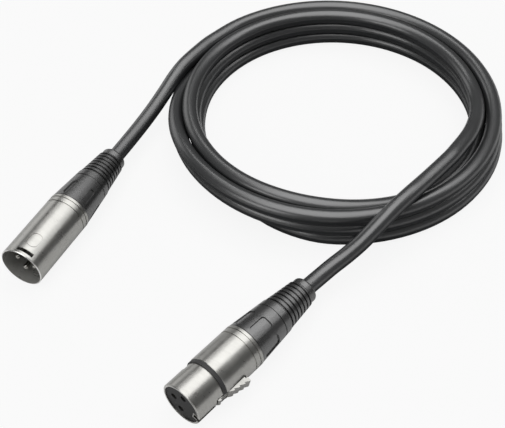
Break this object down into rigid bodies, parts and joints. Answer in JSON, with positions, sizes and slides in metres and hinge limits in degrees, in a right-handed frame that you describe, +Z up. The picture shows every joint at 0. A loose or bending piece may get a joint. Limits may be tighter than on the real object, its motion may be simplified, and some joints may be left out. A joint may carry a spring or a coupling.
{
  "type": "microphone cable coil",
  "caption": "Coiled black microphone cable with a male and a female round audio connector, latch that presses in.",
  "frame": {"origin": "centre of the coil, on the table that the cable lies on", "axes": "+Z up; the male connector's mouth and pins face -Y; +X to the right seen along +Y, on the female connector's side"},
  "size_m": [0.1626, 0.2485, 0.0275],
  "materials": {
    "satin_nickel": "satin nickel plate with fine lengthwise bands",
    "latch_metal": "bare satin steel",
    "pin_metal": "nickel-plated brass, smooth",
    "contact_metal": "tinned brass, dull",
    "black_plastic": "satin moulded",
    "black_rubber": "matte",
    "cable_jacket": "smooth soft jacket with a satin sheen",
    "pale_plastic": "natural nylon",
    "wire_red": "insulation",
    "wire_white": "insulation",
    "wire_blue": "insulation"
  },
  "bodies": {
    "cable": {"male_shell": "satin_nickel", "male_insert": "black_plastic", "male_pin_1": "pin_metal", "male_pin_2": "pin_metal", "male_pin_3": "pin_metal", "male_wire_1": "wire_red", "male_wire_2": "wire_white", "male_wire_3": "wire_blue", "male_chuck": "pale_plastic", "male_bushing": "black_plastic", "male_boot": "black_rubber", "female_shell": "satin_nickel", "female_ring": "black_rubber", "female_insert": "black_plastic", "female_contact_1": "contact_metal", "female_contact_2": "contact_metal", "female_contact_3": "contact_metal", "female_wire_1": "wire_red", "female_wire_2": "wire_white", "female_wire_3": "wire_blue", "female_latch_pin": "latch_metal", "female_latch_spring": "latch_metal", "female_chuck": "pale_plastic", "female_bushing": "black_plastic", "female_boot": "black_rubber", "male_lead": "cable_jacket", "cable_coil": "cable_jacket", "female_lead": "cable_jacket"},
    "latch": {"female_latch": "latch_metal"}
  },
  "joints": [
    {"name": "latch_press", "type": "hinge", "parent": "cable", "child": "latch", "pos_m": [0.02476, -0.1473, 0.0081], "axis": [-0.2173, 0.0582, -0.9744], "range_deg": [0, 4.5], "stiffness_Nm_per_rad": 0.3, "springref_deg": -2.86, "deforming": ["female_latch_spring"]}
  ]
}
